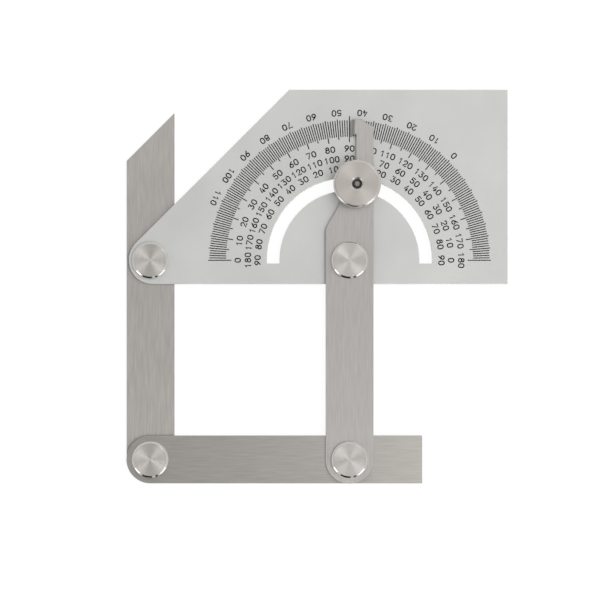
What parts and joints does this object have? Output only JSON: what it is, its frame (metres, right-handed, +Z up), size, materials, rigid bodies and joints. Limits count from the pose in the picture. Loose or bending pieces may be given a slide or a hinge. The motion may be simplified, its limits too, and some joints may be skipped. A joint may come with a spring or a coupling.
{
  "type": "angle finder with arms",
  "caption": "Flat steel angle finder: a graduated plate, a clamped pointer arm and two blades linked as a parallelogram that repeat the set angle outside the plate.",
  "frame": {"origin": "centre of the degree scale, on the axis of the pointer arm's pivot, in the plane that the tool lies on", "axes": "+X along the plate's base edge towards its square end, +Y towards the 90 degree mark, +Z up out of the graduated face"},
  "size_m": [0.1915, 0.1977, 0.0146],
  "materials": {
    "scale_steel": "satin stainless sheet, lightly etched",
    "blade_steel": "stainless blade, brushed along its length",
    "turned_steel": "faced in the lathe, fine rings",
    "knob_steel": "faced in the lathe, fine rings, slightly warm",
    "fill_black": "matt black filling",
    "washer_steel": "spring steel shim",
    "stud_steel": "dark oiled steel"
  },
  "bodies": {
    "plate": {"scale_plate": "scale_steel", "degree_marks": "fill_black", "scale_pivot_pin": "turned_steel", "scale_pivot_collar": "turned_steel", "scale_pivot_washer": "washer_steel"},
    "pointer": {"pointer_arm": "blade_steel", "clamp_stud": "stud_steel", "clamp_seat_washer": "washer_steel"},
    "tip": {"tip_arm": "blade_steel", "tip_pivot_pin": "turned_steel", "tip_pivot_washer": "washer_steel", "corner_pivot_pin": "turned_steel", "corner_pivot_washer": "washer_steel"},
    "base": {"base_arm": "blade_steel", "base_pivot_pin": "turned_steel", "base_pivot_collar": "turned_steel", "base_pivot_washer": "washer_steel"},
    "knob": {"clamp_knob": "knob_steel"}
  },
  "joints": [
    {"name": "pointer_swing", "type": "hinge", "parent": "plate", "child": "pointer", "pos_m": [0, 0, 0.0056], "axis": [0, 0, 1], "range_deg": [-75.5, 75.5]},
    {"name": "tip_arm_swing", "type": "hinge", "parent": "plate", "child": "tip", "pos_m": [-0.1, 0, 0.0033], "axis": [0, 0, 1], "range_deg": [-75.5, 75.5]},
    {"name": "base_arm_swing", "type": "hinge", "parent": "pointer", "child": "base", "pos_m": [0, -0.1, 0.0056], "axis": [0, 0, 1], "range_deg": [-75.5, 75.5]},
    {"name": "knob_turn", "type": "hinge", "parent": "pointer", "child": "knob", "pos_m": [0.0037, 0.03812, 0.011], "axis": [0, 0, 1], "range_deg": [0, 360]}
  ],
  "couplings": [
    {"joint": "tip_arm_swing", "follows": "pointer_swing", "ratio": 1},
    {"joint": "base_arm_swing", "follows": "pointer_swing", "ratio": -1}
  ]
}
